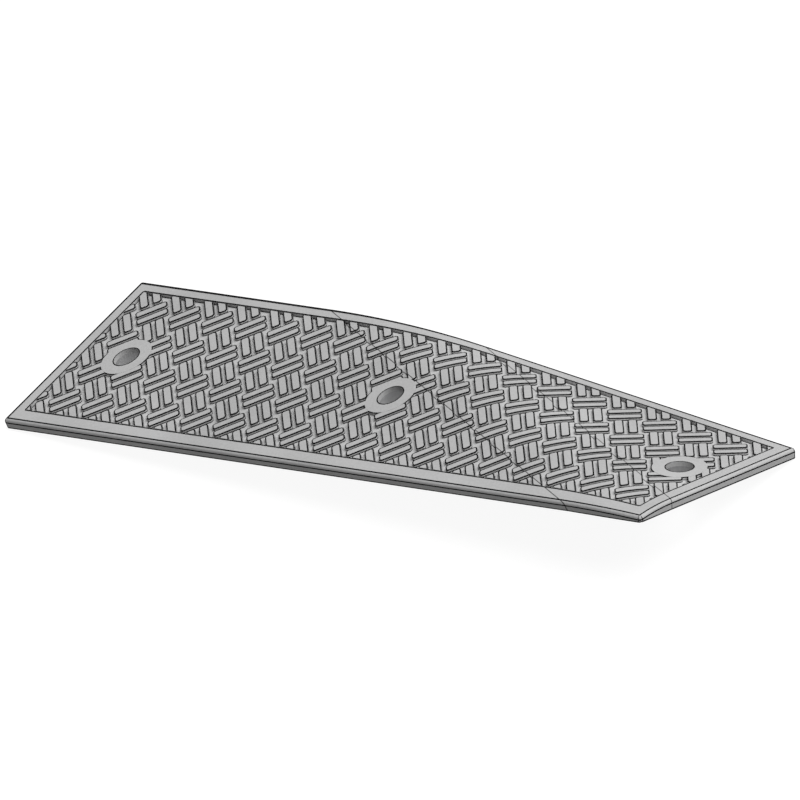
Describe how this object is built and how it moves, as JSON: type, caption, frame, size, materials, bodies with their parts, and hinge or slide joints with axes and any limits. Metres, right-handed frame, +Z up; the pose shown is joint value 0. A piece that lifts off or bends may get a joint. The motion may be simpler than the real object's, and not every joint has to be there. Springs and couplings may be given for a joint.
{
  "type": "kerb ramp plate",
  "caption": "Long plastic ramp plate bent once about a slanting line, with a raised rim, basket-weave tread bars and bushed fixing holes, for wheels to roll over a kerb.",
  "frame": {"origin": "centre of the bounding box in plan, on the ground the plate stands on", "axes": "+X along the plate from the flat end to the bent end, +Y to the back edge, +Z up"},
  "size_m": [0.9966, 0.2514, 0.0991],
  "materials": {
    "tray": "fine moulded grain",
    "panel": "fine moulded grain",
    "bush": "turned, dull zinc",
    "grip": "matt black"
  },
  "bodies": {
    "root": {"base_tray": "tray", "tread_panel": "panel", "bush_left": "bush", "bush_middle": "bush", "bush_right": "bush", "toe_strip": "grip", "heel_strip": "grip"}
  },
  "joints": []
}
